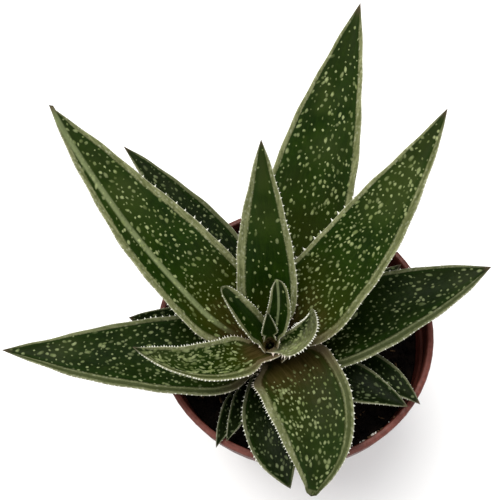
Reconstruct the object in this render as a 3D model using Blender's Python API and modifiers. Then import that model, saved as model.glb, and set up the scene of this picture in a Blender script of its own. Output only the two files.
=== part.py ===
"""Potted gasteraloe: a rosette of thick tapering leaves on a short stem, in a round nursery pot.

Metres, +Z up. The origin is the middle of the pot's flat underside, on the floor. +Y is the side
that the longest leaves lean towards, and -Y is the front, where one leaf bends down over the rim.
"""
from math import cos, pi, radians, sin
from typing import NamedTuple

import bmesh
import bpy
from mathutils import Matrix, Vector

MM = 0.001
GAP = 0.3 * MM  # left between pieces that touch
STEM_GAP = 0.5 * MM  # from the leaning stem out to the root of each leaf

# Pot, a thin moulded shell with a collar and a rolled lip
POT_HEIGHT = 85 * MM
RIM_RADIUS = 52.5 * MM
FOOT_RADIUS = 35 * MM
WALL = 1.2 * MM
FLOOR_THICK = 1.6 * MM
LIP_WIDTH = 2.3 * MM
LIP_DROP = 1.6 * MM
LIP_ROUND = 0.3 * MM
LIP_STEP = 2.2 * MM  # height of the fine step inside the lip
COLLAR_HEIGHT = 11 * MM
COLLAR_STEP = 0.9 * MM
FOOT_ROUND = 1.5 * MM
DRAIN_COUNT = 8
DRAIN_RADIUS = 3.6 * MM
DRAIN_CIRCLE = 26 * MM
POT_STEPS = 64

# Soil
SOIL_TOP = 72 * MM
SOIL_DOME = 1.5 * MM
SOIL_CROWN = ((0.35, 0.2), (0.7, 0.6))  # share of the radius, and share of the dome lost there
STEM_HOLE_DEPTH = 12 * MM

# Stem, from its foot in the soil to the heart of the rosette
STEM_FOOT = Vector((-9, -8, 61)) * MM
STEM_TOP = Vector((-8, -15, 101)) * MM
STEM_FOOT_RADIUS = 4.5 * MM
STEM_TOP_RADIUS = 2.0 * MM
STEM_HOLE_SLACK = 0.5 * MM

# Leaf mesh
RINGS = 14
HALF_POINTS = 6  # points across each face of a leaf, edge to edge
CHANNEL_POWER = 1.7  # how the upper face rises from the midrib to the margins
KEEL_POWER = 2.4  # the same for the underside
ROOT_THICKNESS = 0.4  # share of the full thickness where a leaf meets the stem
THICKENED = 0.15  # share of the length by which a leaf has its full thickness
THINNING = 0.7  # power with which the thickness runs out to the tip

POT_COLOUR = (0.105, 0.028, 0.018)
SOIL_COLOUR = (0.012, 0.009, 0.008)
STEM_COLOUR = (0.16, 0.14, 0.07)
LEAF_COLOUR = (0.022, 0.052, 0.010)


class Leaf(NamedTuple):
    """One leaf: where it sits on the stem, which way its midrib runs and what its blade is like."""

    name: str
    seat: float  # height of the attachment above the floor, mm
    heading: float  # compass direction it leaves the stem in, degrees from +X towards +Y
    rise: float  # slope of the midrib at the stem, degrees
    tip_rise: float  # slope of the midrib at the tip
    sweep: float  # how far the midrib turns sideways on its way, degrees
    length: float  # along the midrib, mm
    width: float  # widest, across the blade, mm
    thick: float  # thickest, mm
    channel: float  # how far the edges stand above the midrib, as a share of half the width
    base: float = 0.22  # share of its length over which it widens from the stem
    waist: float = 0.25  # width at the stem as a share of the widest
    fullness: float = 1.4  # 1 tapers in straight lines, more keeps the blade broad for longer


LEAVES = (
    # lowest leaves, short and nearly level
    Leaf("leaf_low_front_left", 73, 238.5, 20, 22, 21, 41, 8, 2.4, 0.25, base=0.55, fullness=1.6),
    Leaf("leaf_low_front_mid", 76.4, 246, 18.5, 22, 11, 37, 8.5, 2.4, 0.25, base=0.5, fullness=1.6),
    Leaf("leaf_low_right_front", 77.5, 339, 20, 16, -8, 52, 16, 3, 0.25, base=0.5, fullness=1.7),
    Leaf("leaf_low_left", 77, 171.5, 16, 20, 4, 52, 21, 3.5, 0.25, base=0.45, fullness=1.9),
    Leaf("leaf_low_front", 80.2, 266, 24, -10, 34, 48.5, 18.5, 3.5, 0.25, base=0.5, fullness=2.2),
    Leaf("leaf_low_right", 73, 1, 16, 20, -52, 58, 15, 3, 0.25, base=0.55, fullness=1.7),
    Leaf("leaf_low_right_back", 75, 36, 14, 10, 0, 59, 15, 2.5, 0.25, base=0.55),
    # spreading leaves
    Leaf("leaf_behind_right", 79, 58.5, 18, 28, -2, 76, 23, 4, 0.25, base=0.55, waist=0.1),
    Leaf("leaf_behind_left", 81.3, 120.6, 20, 24.5, 24, 95.5, 24, 5, 0.25, base=0.33, fullness=1.6),
    Leaf("leaf_left", 84.2, 194, 18, 10, -13.5, 92, 31.5, 5.5, 0.25, base=0.2, fullness=1.75),
    Leaf("leaf_right_lower", 83, 15.5, 22, 16, 6.5, 82, 31, 5.5, 0.25, base=0.27, fullness=2.1),
    Leaf("leaf_front", 88.3, 314, 32, -40, -60, 55.3, 30, 5.5, 0.22, fullness=2.6),
    # long leaves
    Leaf("leaf_back_right", 87, 76.6, 28, 40, -3, 126.5, 34, 6.5, 0.25, base=0.3, fullness=1.9),
    Leaf("leaf_back_left", 90.5, 146.7, 28, 42, -9, 112, 30.5, 6.5, 0.25, fullness=1.9),
    Leaf("leaf_right_upper", 92.8, 40, 34, 38, 19, 100, 29, 6.5, 0.25, fullness=1.8),
    # inner leaves
    Leaf("leaf_left_inner", 96, 218, 20, 54, -46, 53, 15, 5, 0.45, fullness=2.0),
    Leaf("leaf_centre_back", 95.5, 96.6, 46, 58, -3, 72.5, 21, 5, 0.25, fullness=2.0),
    Leaf("leaf_core_right", 97, 347, 30, 100, 124, 30, 9, 3, 0.5, fullness=2.2),
    Leaf("leaf_core_left", 98, 148, 50, 60, 0, 29, 9.5, 3, 0.6, fullness=2.4),
    Leaf("leaf_core_back", 100, 64, 62, 72, 50, 27, 8.5, 2.5, 0.5, fullness=3.2),
    Leaf("leaf_heart", 103, 100, 74, 80, 0, 13, 6, 1.8, 0.4),
)


def clear_scene():
    for old in list(bpy.data.objects):
        bpy.data.objects.remove(old)


def make_collection(name):
    collection = bpy.data.collections.new(name)
    bpy.context.scene.collection.children.link(collection)
    return collection


def make_material(name, colour, roughness, metallic=0.0):
    material = bpy.data.materials.new(name)
    material.use_nodes = True
    shader = material.node_tree.nodes["Principled BSDF"]
    shader.inputs["Base Color"].default_value = (*colour, 1)
    shader.inputs["Roughness"].default_value = roughness
    shader.inputs["Metallic"].default_value = metallic
    return material


def make_object(name, bm, material, collection):
    """Turns a bmesh into a smooth-shaded object with its faces pointing out."""
    bmesh.ops.recalc_face_normals(bm, faces=bm.faces)
    mesh = bpy.data.meshes.new(name)
    bm.to_mesh(mesh)
    bm.free()
    mesh.shade_smooth()
    mesh.set_sharp_from_angle(angle=radians(40))
    mesh.materials.append(material)
    thing = bpy.data.objects.new(name, mesh)
    collection.objects.link(thing)
    return thing


def turned_object(name, profile, steps, material, collection):
    """Turns a profile of (radius, height) points, running down its outer side, about Z."""
    bm = bmesh.new()
    corners = [bm.verts.new((radius, 0, height)) for radius, height in profile]
    for first, second in zip(corners, corners[1:]):
        bm.edges.new((first, second))
    mesh = bpy.data.meshes.new(name)
    bm.to_mesh(mesh)
    bm.free()
    mesh.materials.append(material)
    thing = bpy.data.objects.new(name, mesh)
    collection.objects.link(thing)
    screw = thing.modifiers.new("turn", "SCREW")
    screw.steps = steps
    screw.render_steps = steps
    screw.use_merge_vertices = True
    screw.merge_threshold = 0.00001
    screw.use_smooth_shade = True
    return thing


def add_cutter(name, centre, radius, height, axis, collection):
    """A cylinder for a Boolean, standing on its centre point along the axis."""
    bm = bmesh.new()
    bmesh.ops.create_cone(bm, cap_ends=True, segments=24, radius1=radius, radius2=radius, depth=height)
    turn = axis.to_track_quat("Z", "Y").to_matrix().to_4x4()
    bm.transform(Matrix.Translation(centre) @ turn)
    mesh = bpy.data.meshes.new(name)
    bm.to_mesh(mesh)
    bm.free()
    cutter = bpy.data.objects.new(name, mesh)
    cutter.hide_render = True
    cutter.display_type = "WIRE"
    collection.objects.link(cutter)
    return cutter


def cut(thing, cutter):
    boolean = thing.modifiers.new(cutter.name, "BOOLEAN")
    boolean.operation = "DIFFERENCE"
    boolean.object = cutter


def wall_radius(height, inset=0.0):
    """Outside radius of the pot's plain wall at a height, less an inset."""
    share = height / (POT_HEIGHT - COLLAR_HEIGHT)
    top = RIM_RADIUS - LIP_WIDTH + WALL - COLLAR_STEP
    return FOOT_RADIUS + (top - FOOT_RADIUS) * share - inset


def make_pot(parts, cutters):
    collar_foot = POT_HEIGHT - COLLAR_HEIGHT
    lip_inside = RIM_RADIUS - LIP_WIDTH
    profile = (
        (0, FLOOR_THICK),
        (wall_radius(FLOOR_THICK, WALL) - FOOT_ROUND, FLOOR_THICK),
        (wall_radius(FLOOR_THICK + FOOT_ROUND, WALL), FLOOR_THICK + FOOT_ROUND),
        (wall_radius(collar_foot, WALL), collar_foot),
        (wall_radius(collar_foot, WALL) + COLLAR_STEP, collar_foot + COLLAR_STEP),
        (lip_inside - LIP_ROUND, POT_HEIGHT - LIP_STEP),
        (lip_inside, POT_HEIGHT - 2 * LIP_ROUND),
        (lip_inside + LIP_ROUND, POT_HEIGHT - LIP_ROUND / 2),
        (lip_inside + LIP_WIDTH / 2, POT_HEIGHT),
        (RIM_RADIUS - LIP_ROUND, POT_HEIGHT - LIP_ROUND),
        (RIM_RADIUS, POT_HEIGHT - LIP_DROP / 2),
        (RIM_RADIUS - LIP_ROUND, POT_HEIGHT - LIP_DROP),
        (lip_inside + WALL, POT_HEIGHT - LIP_DROP - LIP_ROUND),
        (wall_radius(collar_foot) + COLLAR_STEP, collar_foot + COLLAR_STEP / 2),
        (wall_radius(collar_foot), collar_foot),
        (wall_radius(FOOT_ROUND), FOOT_ROUND),
        (FOOT_RADIUS - FOOT_ROUND / 3, FOOT_ROUND / 3),
        (FOOT_RADIUS - FOOT_ROUND, 0),
        (0, 0),
    )
    plastic = make_material("pot_plastic", POT_COLOUR, 0.5)
    pot = turned_object("pot", profile, POT_STEPS, plastic, parts)
    for index in range(DRAIN_COUNT):
        angle = 2 * pi * (index + 0.5) / DRAIN_COUNT
        centre = Vector((cos(angle), sin(angle), 0)) * DRAIN_CIRCLE
        drain = add_cutter(f"drain_{index}", centre, DRAIN_RADIUS, 4 * FLOOR_THICK, Vector((0, 0, 1)), cutters)
        cut(pot, drain)


def make_soil(parts, cutters):
    gap = WALL + GAP
    foot = FLOOR_THICK + GAP
    collar_foot = POT_HEIGHT - COLLAR_HEIGHT
    assert SOIL_TOP < collar_foot
    profile = (
        (0, SOIL_TOP),
        *[(wall_radius(SOIL_TOP, gap) * share, SOIL_TOP - SOIL_DOME * lost) for share, lost in SOIL_CROWN],
        (wall_radius(SOIL_TOP - SOIL_DOME, gap), SOIL_TOP - SOIL_DOME),
        (wall_radius(foot + FOOT_ROUND, gap), foot + FOOT_ROUND),
        (wall_radius(foot, gap) - FOOT_ROUND, foot),
        (0, foot),
    )
    earth = make_material("soil_mix", SOIL_COLOUR, 0.95)
    soil = turned_object("soil", profile, POT_STEPS // 2, earth, parts)
    hole = add_cutter(
        "stem_hole",
        STEM_FOOT + (STEM_TOP - STEM_FOOT).normalized() * STEM_HOLE_DEPTH,
        STEM_FOOT_RADIUS + STEM_HOLE_SLACK,
        2 * STEM_HOLE_DEPTH + 2 * STEM_HOLE_SLACK,
        STEM_TOP - STEM_FOOT,
        cutters,
    )
    cut(soil, hole)


def stem_point(height):
    share = (height - STEM_FOOT.z) / (STEM_TOP.z - STEM_FOOT.z)
    return STEM_FOOT.lerp(STEM_TOP, share)


def stem_radius(height):
    share = (height - STEM_FOOT.z) / (STEM_TOP.z - STEM_FOOT.z)
    return STEM_FOOT_RADIUS + (STEM_TOP_RADIUS - STEM_FOOT_RADIUS) * share


def make_stem(parts):
    axis = STEM_TOP - STEM_FOOT
    bm = bmesh.new()
    bmesh.ops.create_cone(
        bm,
        cap_ends=True,
        segments=20,
        radius1=STEM_FOOT_RADIUS,
        radius2=STEM_TOP_RADIUS,
        depth=axis.length,
    )
    turn = axis.to_track_quat("Z", "Y").to_matrix().to_4x4()
    bm.transform(Matrix.Translation((STEM_FOOT + STEM_TOP) / 2) @ turn)
    bark = make_material("stem_skin", STEM_COLOUR, 0.7)
    make_object("stem", bm, bark, parts)


def blade_width(leaf, along):
    """Width of the blade at a share of its length: it widens from the stem, then tapers to a point."""
    if along < leaf.base:
        return leaf.width * (leaf.waist + (1 - leaf.waist) * sin(pi / 2 * along / leaf.base))
    tapered = (along - leaf.base) / (1 - leaf.base)
    return leaf.width * (1 - tapered**leaf.fullness)


def blade_thickness(leaf, along):
    """Thin where it joins the stem, thickest in the lower third, thin at the tip."""
    base = min(1, ROOT_THICKNESS + (1 - ROOT_THICKNESS) * along / THICKENED)
    return leaf.thick * base * (1 - along) ** THINNING


def midrib(leaf):
    """The points along a leaf's midrib, with the direction, side and up vectors there."""
    steps = RINGS + 1
    height = leaf.seat * MM
    heading = radians(leaf.heading)
    outwards = Vector((cos(heading), sin(heading), 0))
    point = stem_point(height) + outwards * (stem_radius(height) + STEM_GAP)
    stations = []
    for index in range(steps + 1):
        along = index / steps
        heading = radians(leaf.heading + leaf.sweep * along)
        rise = radians(leaf.rise + (leaf.tip_rise - leaf.rise) * along)
        forward = Vector((cos(heading) * cos(rise), sin(heading) * cos(rise), sin(rise)))
        side = Vector((-sin(heading), cos(heading), 0))
        stations.append((along, point.copy(), side, forward.cross(side)))
        point += forward * (leaf.length * MM / steps)
    return stations


def section(leaf, along, centre, side, up):
    """One ring round the blade: across the channelled upper face, then back along the underside."""
    half = blade_width(leaf, along) * MM / 2
    thick = blade_thickness(leaf, along) * MM
    edge = leaf.channel * half
    ring = []
    for index in range(HALF_POINTS):
        across = cos(pi * index / HALF_POINTS)
        ring.append(centre + side * half * across + up * edge * abs(across) ** CHANNEL_POWER)
    for index in range(HALF_POINTS):
        across = -cos(pi * index / HALF_POINTS)
        lower = (edge + thick) * abs(across) ** KEEL_POWER - thick
        ring.append(centre + side * half * across + up * lower)
    return ring


def make_leaf(leaf, skin, parts):
    stations = midrib(leaf)
    bm = bmesh.new()
    root = bm.verts.new(stations[0][1])
    tip = bm.verts.new(stations[-1][1])
    rings = [[bm.verts.new(point) for point in section(leaf, *station)] for station in stations[1:-1]]
    count = len(rings[0])
    for index in range(count):
        after = (index + 1) % count
        bm.faces.new((root, rings[0][after], rings[0][index]))
        bm.faces.new((tip, rings[-1][index], rings[-1][after]))
        for lower, upper in zip(rings, rings[1:]):
            bm.faces.new((lower[index], lower[after], upper[after], upper[index]))
    make_object(leaf.name, bm, skin, parts)


def main():
    clear_scene()
    parts = make_collection("potted_succulent")
    cutters = make_collection("cutters")
    make_pot(parts, cutters)
    make_soil(parts, cutters)
    make_stem(parts)
    for leaf in LEAVES:
        skin = make_material(leaf.name + "_skin", LEAF_COLOUR, 0.4)
        make_leaf(leaf, skin, parts)


main()
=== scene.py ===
"""Looks of the potted gasteraloe: warty, pale-edged leaves in a rosette, peaty soil, a brown nursery pot."""
from math import cos, pi, radians, sin
from typing import NamedTuple

import bmesh
import bpy
import numpy as np
from mathutils import Matrix, Vector, noise


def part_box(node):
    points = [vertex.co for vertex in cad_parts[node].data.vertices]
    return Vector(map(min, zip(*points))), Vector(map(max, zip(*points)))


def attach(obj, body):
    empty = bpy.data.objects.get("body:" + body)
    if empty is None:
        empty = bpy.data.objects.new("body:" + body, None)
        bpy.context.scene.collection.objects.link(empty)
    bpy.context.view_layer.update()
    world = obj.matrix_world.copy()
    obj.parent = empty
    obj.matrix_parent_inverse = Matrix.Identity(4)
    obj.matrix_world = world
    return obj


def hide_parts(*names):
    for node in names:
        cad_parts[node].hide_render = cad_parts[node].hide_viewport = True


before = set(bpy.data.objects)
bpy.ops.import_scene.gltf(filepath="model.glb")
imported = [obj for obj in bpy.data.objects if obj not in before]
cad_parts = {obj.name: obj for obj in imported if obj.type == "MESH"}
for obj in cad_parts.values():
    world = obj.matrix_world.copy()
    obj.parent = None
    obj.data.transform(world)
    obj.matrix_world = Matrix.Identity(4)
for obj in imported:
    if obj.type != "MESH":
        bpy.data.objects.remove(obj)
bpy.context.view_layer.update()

MM = 0.001
RING_POINTS = 12  # points round one ring of a CAD leaf
UPPER_POWER = 1.7  # how the channel of the upper face rises to the margins
LOWER_POWER = 2.4
SINK = 1.5 * MM  # how far a leaf's base reaches into the stem
STEM_SHOWN = 0.91  # the stem ends this share of the way up, between the youngest leaves
MM_PER_ROW = 1.1  # from one row of a leaf's faces to the next
WART_SIDES = 9
TOOTH_POINTS = 9
TOOTH_CELL = 0.016  # side of one tooth's square in the bake map
PEAT, BARK, PERLITE = 0.0, 0.85, 1.0  # what a crumb is, as its "grain" mark says
CRUMBS = 1500  # on the soil: peat first, then bark, and the rest are perlite
PEAT_CRUMBS = 1330
BARK_CRUMBS = 145
DRIED_CRUMBS = 34  # inside the lip of the pot
DRIED_HEADING = -56  # degrees round the pot from +X, where they are thickest
DRIED_SPREAD = 6.5
CAMERA_FROM_RIM = (0, -0.09966, 0.2291)  # metres, from the middle of the pot's rim
CAMERA_YAW, CAMERA_PITCH, CAMERA_ROLL = 4.12, 6.18, 2.61  # degrees, from looking straight at that middle
FOCAL_LENGTH = 46.8
SENSOR_WIDTH = 36


class Skin(NamedTuple):
    """How one leaf is marked. Left and right are as seen from the stem, looking out along the upper face."""

    band_left: float  # pale margin, mm
    band_right: float
    teeth_left: float  # from tooth to tooth, mm
    teeth_right: float
    tooth: float  # length of the longest teeth, mm
    warts: float  # per square mm of the upper face
    bare: float  # share of the length, from the stem, that has no warts
    ribbed_left: float = 0  # 1 where the pale margin is a sloping strip with a raised line inside
    ribbed_right: float = 0
    stripe: float = 0  # where a raised line runs along the blade, as a share of half the width, 0 for none
    age_and_shade: float = 0  # 0 is fresh and green, 1 is dull: older, and darkened with painted shade like a leaf in the shade of those above
    streak: float = 1.7  # how long the warts are for their width
    pale: float = 0  # 1 makes the right half of the face as pale as the margins
    hug: float = 0.5  # width of the sheathing base as a share of the widest
    tan: float = 0.24  # share of the length, from the stem, that is tinged with brown
    short_left: float = 1  # length of the teeth on the left margin as a share of the longest
    short_right: float = 1
    blunt: float = 0  # how broad the blade stays up to a rounded tip, as a share of its widest


SKINS = {
    "leaf_low_front_left": Skin(0.8, 0.8, 2.4, 2.4, 0.4, 0.14, 0.2, age_and_shade=1),
    "leaf_low_front_mid": Skin(0.8, 0.8, 2.4, 2.4, 0.4, 0.14, 0.2, age_and_shade=1),
    "leaf_low_right_front": Skin(1.0, 1.0, 2.2, 2.2, 0.4, 0.18, 0.2, age_and_shade=1),
    "leaf_low_left": Skin(1.2, 1.0, 1.8, 1.8, 0.7, 0.15, 0.2, age_and_shade=0.7),
    "leaf_low_front": Skin(1.5, 1.3, 1.5, 1.6, 0.9, 0.18, 0.15, age_and_shade=0.9, short_left=0.5, blunt=0.3),
    "leaf_low_right": Skin(1.2, 1.2, 2.2, 2.2, 0.4, 0.13, 0.2, age_and_shade=0.9),
    "leaf_low_right_back": Skin(1.2, 1.2, 3.0, 3.0, 0.5, 0.10, 0.2, age_and_shade=0.8),
    "leaf_behind_right": Skin(1.2, 1.2, 3.0, 3.0, 0.6, 0.12, 0.2, age_and_shade=0.8),
    "leaf_behind_left": Skin(1.5, 1.6, 3.2, 3.2, 0.8, 0.15, 0.15, age_and_shade=0.75, short_right=0.4),
    "leaf_left": Skin(
        3.2, 1.5, 2.2, 2.1, 1.0, 0.16, 0.12, ribbed_left=1, age_and_shade=0.45, hug=0.62, short_left=0.45
    ),
    "leaf_right_lower": Skin(1.5, 3.6, 3.0, 2.0, 0.9, 0.13, 0.18, ribbed_right=1, age_and_shade=0.6, short_right=0.45),
    "leaf_front": Skin(
        3.0, 3.0, 1.4, 1.2, 1.0, 0.16, 0.27, ribbed_left=1, age_and_shade=0.3, hug=0.55, tan=0.5, short_left=0.8,
        blunt=0.38
    ),
    "leaf_back_right": Skin(1.8, 2.5, 3.8, 3.4, 0.8, 0.11, 0.2, tan=0.34, short_left=0.5, short_right=0.6),
    "leaf_back_left": Skin(
        2.6, 2.4, 2.8, 4.2, 1.3, 0.14, 0.12, stripe=0.45, hug=0.58, tan=0.26, short_left=0.4
    ),
    "leaf_right_upper": Skin(
        1.5, 3.0, 4.2, 2.6, 1.5, 0.165, 0.16, ribbed_right=0.6, tan=0.28, hug=0.55, short_right=0.3
    ),
    "leaf_left_inner": Skin(
        3.3, 1.4, 1.3, 1.2, 1.0, 0.26, 0.2, ribbed_left=1, streak=3.0, hug=0.85, tan=0.3, short_left=0.6
    ),
    "leaf_centre_back": Skin(3.0, 2.3, 2.6, 2.2, 0.9, 0.05, 0.2, tan=0.2, short_left=0.6),
    "leaf_core_right": Skin(
        1.1, 1.9, 1.2, 1.1, 1.4, 0.22, 0.1, streak=2.6, pale=1, hug=0.75, tan=0.1, blunt=0.4
    ),
    "leaf_core_left": Skin(1.8, 1.8, 1.5, 1.5, 0.6, 0.03, 0.3, hug=0.85, tan=0.1, blunt=0.8),
    "leaf_core_back": Skin(1.2, 1.2, 1.6, 1.5, 0.4, 0.04, 0.3, hug=0.8, tan=0.1, stripe=0.02, blunt=0.85),
    "leaf_heart": Skin(0.6, 0.6, 1.3, 1.3, 0.25, 0, 0, age_and_shade=0.35, hug=0.8, tan=0.05),
}

RIM_COLUMNS = np.array([0, 0.1, 0.25, 0.45, 0.65, 0.82, 0.9, 0.96, 1.04, 1.25])  # shares of a pale margin
RIB_AT = 0.92  # where the raised line runs, as a share of the pale margin


def smoothstep(low, high, value):
    share = np.clip((value - low) / (high - low), 0, 1)
    return share * share * (3 - 2 * share)


# ---- reading the CAD leaves ----


def cad_rings(node, stem_middle):
    """A CAD leaf's root point, its rings of vertices from the stem outwards, and its tip point."""
    bm = bmesh.new()
    bm.from_mesh(node.data)
    bmesh.ops.remove_doubles(bm, verts=bm.verts, dist=0.001 * MM)
    poles = [vert for vert in bm.verts if len(vert.link_edges) == RING_POINTS]
    root, tip = sorted(poles, key=lambda vert: (vert.co - stem_middle).length)
    rings = []
    seen = {root, tip}
    layer = {edge.other_vert(root) for edge in root.link_edges}
    while layer:
        walk = [min(layer, key=lambda vert: tuple(vert.co))]
        while len(walk) < len(layer):
            onwards = [edge.other_vert(walk[-1]) for edge in walk[-1].link_edges]
            walk.append(next(vert for vert in onwards if vert in layer and vert not in walk))
        rings.append(np.array([vert.co for vert in walk]))
        seen |= layer
        layer = {edge.other_vert(vert) for vert in layer for edge in vert.link_edges} - seen
    ends = np.array(root.co), np.array(tip.co)
    bm.free()
    return ends[0], rings, ends[1]


def from_left_margin(ring, forward):
    """The ring's points in order from its left margin, over the upper face, to the right margin and back."""
    normal = np.cross(ring, np.roll(ring, -1, axis=0)).sum(axis=0)
    if normal @ forward < 0:
        ring = ring[::-1]
    gaps = np.linalg.norm(ring - np.roll(ring, -RING_POINTS // 2, axis=0), axis=1)
    first = int(np.argmax(gaps[: RING_POINTS // 2]))
    ring = np.roll(ring, -first, axis=0)
    quarter = RING_POINTS // 4
    chord = (ring[0] + ring[2 * quarter]) / 2
    rises = [np.linalg.norm(ring[index] - chord) for index in (quarter, 3 * quarter)]
    return ring if rises[0] < rises[1] else np.roll(ring, 2 * quarter, axis=0)


class Blade:
    """The shape of one leaf, taken from its CAD node, that can be sampled at any place on it."""

    def __init__(self, node, skin, stem_middle, seed):
        root, rings, tip = cad_rings(node, stem_middle)
        middles = [root, *[ring.mean(axis=0) for ring in rings], tip]
        rings = [
            from_left_margin(ring - ring.mean(axis=0), after - before) + ring.mean(axis=0)
            for ring, before, after in zip(rings, middles, middles[2:])
        ]
        half, quarter = RING_POINTS // 2, RING_POINTS // 4
        centre = np.array([ring[quarter] for ring in rings])
        side = np.array([(ring[0] - ring[half]) / 2 for ring in rings])
        rise = np.array([(ring[0] + ring[half]) / 2 - ring[quarter] for ring in rings])
        depth = np.array([ring[quarter] - ring[half + quarter] for ring in rings])
        # the base goes on inwards, a little into the stem
        inwards = (root - centre[0]) / np.linalg.norm(root - centre[0])
        first = root + inwards * SINK
        ahead = 2 * side[0] - side[1]
        self.centre = np.vstack([first, centre, tip])
        self.side = np.vstack([ahead, side, np.zeros(3)])
        self.rise = np.vstack([rise[0], rise, np.zeros(3)])
        self.depth = np.vstack([depth[0], depth, np.zeros(3)])
        self.top = len(self.centre) - 1
        steps = np.linalg.norm(np.diff(self.centre, axis=0), axis=1)
        self.run = np.concatenate([[0], np.cumsum(steps)])
        self.length = self.run[-1]
        self.up_rings = self.depth[:-1] / np.linalg.norm(self.depth[:-1], axis=1)[:, None]
        self.up_rings = np.vstack([self.up_rings, self.up_rings[-1]])
        widths = np.linalg.norm(self.side, axis=1)
        self.widest = widths.max()
        self.skin = skin
        self.phase = np.random.default_rng(seed).uniform(0, 2 * pi, 6)

    def spline(self, values, t):
        """Catmull-Rom through the rings' values."""
        padded = np.vstack([2 * values[0] - values[1], values, 2 * values[-1] - values[-2]])
        t = np.clip(t, 0, self.top)
        cell = np.minimum(t.astype(int), self.top - 1)
        f = (t - cell)[:, None]
        a, b, c, d = (padded[cell + index] for index in range(4))
        square = (2 * a - 5 * b + 4 * c - d) * f**2
        cube = (3 * b - a - 3 * c + d) * f**3
        return 0.5 * (2 * b + (c - a) * f + square + cube)

    def half_width(self, t):
        """Half the width of the blade, in metres, with the base filled out to hug the stem."""
        drawn = np.linalg.norm(self.spline(self.side, t), axis=1)
        hugging = self.skin.hug * self.widest * (1 - smoothstep(0, 0.35, self.share(t)))
        outer = np.clip((self.share(t) - 0.45) / 0.55, 0, 1)
        ending = self.skin.blunt * self.widest * np.sqrt(1 - outer**2.6)
        return np.maximum(np.maximum(drawn, hugging), ending * smoothstep(0.3, 0.6, self.share(t)))

    def share(self, t):
        """How far along the leaf, from 0 at the stem to 1 at the tip."""
        return np.interp(t, range(self.top + 1), self.run) / self.length

    def ring_at(self, share):
        return np.interp(np.asarray(share) * self.length, self.run, range(self.top + 1))

    def bands(self, t):
        """Widths of the left and the right pale margin, in metres."""
        shrink = 1 - 0.45 * smoothstep(0.55, 1, self.share(t))
        most = 0.42 * self.half_width(t)
        return [np.minimum(band * MM * shrink, most) for band in (self.skin.band_left, self.skin.band_right)]

    def place(self, t, x, under):
        """Points of the leaf.

        t counts rings from the stem, x goes from -1 right to 1 left, and under is 0 on the upper face.
        """
        centre = self.spline(self.centre, t)
        side = self.spline(self.side, t)
        rise = self.spline(self.rise, t)
        depth = self.spline(self.depth, t)
        up = self.spline(self.up_rings, t)
        up /= np.linalg.norm(up, axis=1)[:, None]
        drawn = np.maximum(np.linalg.norm(side, axis=1), 1e-7)
        half = self.half_width(t)
        side = side * (half / drawn)[:, None]
        # a base that is filled out also curls up round the stem
        rise = rise + up * ((half - drawn) * 0.55)[:, None]
        h = np.abs(x)
        upper = rise * (h**UPPER_POWER)[:, None]
        lower = (rise + depth) * (h**LOWER_POWER)[:, None] - depth
        inset = (1 - h) * half
        # rounded, slightly swollen margin
        bead = np.minimum(0.45 * MM, 0.16 * half)
        inside = np.clip(1 - inset / np.maximum(bead, 1e-7), 0, 1)
        swell = bead * np.sqrt(1 - inside**2) * (1 - 0.85 * smoothstep(1, 5, inset / np.maximum(bead, 1e-7)))
        upper_only = smoothstep(0.05, 0.2, t / self.top) * (1 - under)
        ribs = (self.skin.ribbed_left, self.skin.ribbed_right)
        for sign, band, ribbed in zip((1, -1), self.bands(t), ribs):
            rim = (1 - sign * x) * half / np.maximum(band, 1e-7)
            swell = swell + ribbed * 0.3 * MM * np.exp(-(((rim - RIB_AT) / 0.1) ** 2)) * upper_only
        if self.skin.stripe:
            off = (x - self.skin.stripe) * half / MM
            swell = swell + 0.3 * MM * np.exp(-((off / 0.7) ** 2)) * upper_only
        swell = swell * (1 - smoothstep(0.97, 1, t / self.top))
        along = self.share(t) * self.length / MM
        a, b, c, d, e, f = self.phase
        wave = 0.22 * np.sin(along / 5.3 + a) * np.sin(along / 11.7 + b) * h**3 * np.sign(x + 1e-9)
        wave = wave + 0.16 * np.sin(along / 8.1 + c + 2.1 * x) + 0.07 * np.sin(along / 2.9 + d + 4 * x)
        wander = 0.20 * np.sin(along / 6.7 + e + x) * h + 0.12 * np.sin(along / 2.3 + f + 2 * x) * h**4
        fade = smoothstep(0, 0.1, t / self.top) * (1 - smoothstep(0.85, 1, t / self.top))
        direction = side / np.maximum(half, 1e-7)[:, None]
        point = centre + side * x[:, None] + np.where(under[:, None] > 0.5, lower, upper)
        point += up * (np.where(under > 0.5, -swell, swell) + wave * fade * MM)[:, None]
        return point + direction * (wander * fade * MM)[:, None]

    def normal(self, t, x, under):
        """Unit normals that point out of the leaf."""
        ahead = self.place(np.minimum(t + 0.04, self.top), x, under)
        ahead -= self.place(np.maximum(t - 0.04, 0), x, under)
        across = self.place(t, np.minimum(x + 0.02, 1), under)
        across -= self.place(t, np.maximum(x - 0.02, -1), under)
        normal = np.cross(ahead, across)
        normal /= np.linalg.norm(normal, axis=1)[:, None] + 1e-12
        return np.where(under[:, None] > 0.5, -normal, normal)

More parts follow.
